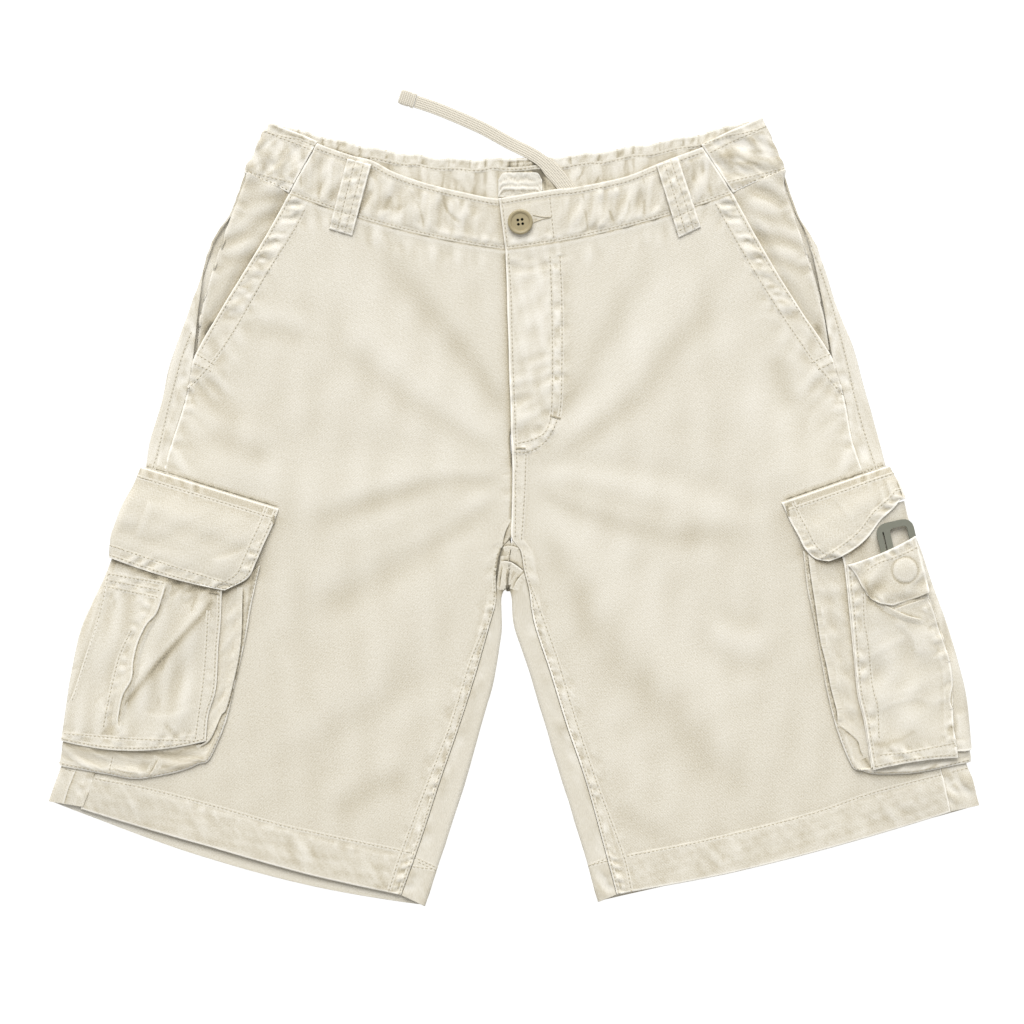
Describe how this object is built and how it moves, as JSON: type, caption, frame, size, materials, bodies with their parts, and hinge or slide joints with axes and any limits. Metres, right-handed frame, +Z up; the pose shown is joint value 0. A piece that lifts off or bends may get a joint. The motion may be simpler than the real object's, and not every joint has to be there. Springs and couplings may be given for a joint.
{
  "type": "cargo shorts",
  "caption": "Knee-length cotton cargo shorts laid flat, with an elastic waist, bellows pockets, a snap clip and a flat drawcord.",
  "frame": {"origin": "centre of the box of the shorts without the free drawcord, on the surface that they lie on", "axes": "+X across the shorts from the wearer's right leg to the left one, +Y from the hems to the waist, +Z up from the surface"},
  "size_m": [0.744, 0.6519, 0.0205],
  "materials": {
    "stone_twill": "matte cotton twill, washed",
    "grey_green_plastic": "fine matte",
    "olive_tan_button": "satin",
    "cream_braid": "flat woven cotton braid"
  },
  "bodies": {
    "root": {"back_right": "stone_twill", "back_left": "stone_twill", "front_right": "stone_twill", "front_left": "stone_twill", "pocket_facing_right": "stone_twill", "pocket_facing_left": "stone_twill", "waistband_back": "stone_twill", "waistband_front_right": "stone_twill", "waistband_front_left": "stone_twill", "belt_loop_right": "stone_twill", "belt_loop_left": "stone_twill", "cargo_pocket_right": "stone_twill", "cargo_pocket_left": "stone_twill", "cargo_flap_right": "stone_twill", "cargo_flap_left": "stone_twill", "cargo_bellows_right": "stone_twill", "cargo_bellows_left": "stone_twill", "phone_pocket": "stone_twill", "phone_pocket_cuff": "stone_twill", "inner_patch": "stone_twill", "snap_clip": "grey_green_plastic", "button": "olive_tan_button", "drawcord": "cream_braid", "drawcord_tip": "cream_braid"}
  },
  "joints": []
}
